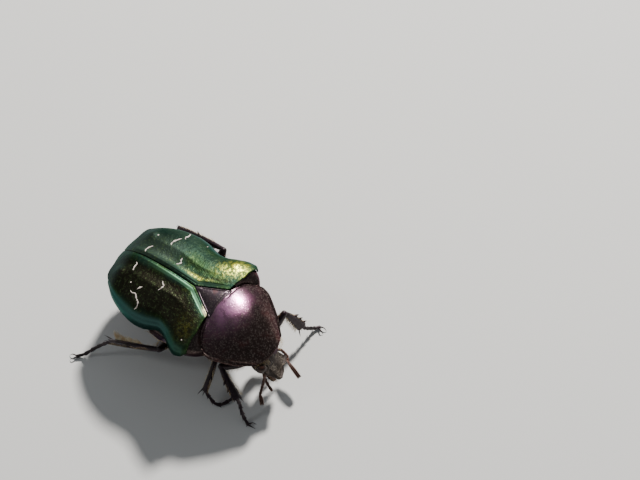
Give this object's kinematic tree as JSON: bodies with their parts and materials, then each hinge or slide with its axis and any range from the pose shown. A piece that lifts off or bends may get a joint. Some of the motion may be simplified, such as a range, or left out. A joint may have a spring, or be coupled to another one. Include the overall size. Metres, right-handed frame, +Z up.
{
  "type": "rose chafer beetle",
  "caption": "Life-size still model of a green and purple rose chafer beetle standing on its feet, head lowered and feelers spread.",
  "frame": {"origin": "middle of the bounding box's base, on the floor under the beetle", "axes": "+Z up, -Y toward the head, +X to the beetle's left"},
  "size_m": [0.0162, 0.02, 0.0085],
  "materials": {
    "pronotum": "polished shell, dark purple bronze with fine pits",
    "scutellum": "polished shell, dark purple bronze",
    "elytron": "metallic green shell, fine pits and small white marks",
    "thorax": "dark purple shell with pale golden hairs",
    "abdomen": "dark purple shell",
    "pygidium": "dark shell with small white marks",
    "head": "matt grey-brown shell with coarse pits",
    "eye": "smooth, nearly black",
    "antenna": "brown, satin",
    "mouthparts": "brown, satin",
    "leg": "black-brown shell with a purple sheen and golden hairs"
  },
  "bodies": {
    "root": {"abdomen": "abdomen", "antenna_left": "antenna", "antenna_right": "antenna", "elytron_left": "elytron", "elytron_right": "elytron", "eye_left": "eye", "eye_right": "eye", "head": "head", "leg_front_left_femur": "leg", "leg_front_left_tarsus": "leg", "leg_front_left_tibia": "leg", "leg_front_right_femur": "leg", "leg_front_right_tarsus": "leg", "leg_front_right_tibia": "leg", "leg_hind_left_femur": "leg", "leg_hind_left_tarsus": "leg", "leg_hind_left_tibia": "leg", "leg_hind_right_femur": "leg", "leg_hind_right_tarsus": "leg", "leg_hind_right_tibia": "leg", "leg_middle_left_femur": "leg", "leg_middle_left_tarsus": "leg", "leg_middle_left_tibia": "leg", "leg_middle_right_femur": "leg", "leg_middle_right_tarsus": "leg", "leg_middle_right_tibia": "leg", "mouthparts": "mouthparts", "pronotum": "pronotum", "pygidium": "pygidium", "scutellum": "scutellum", "thorax": "thorax"}
  },
  "joints": []
}
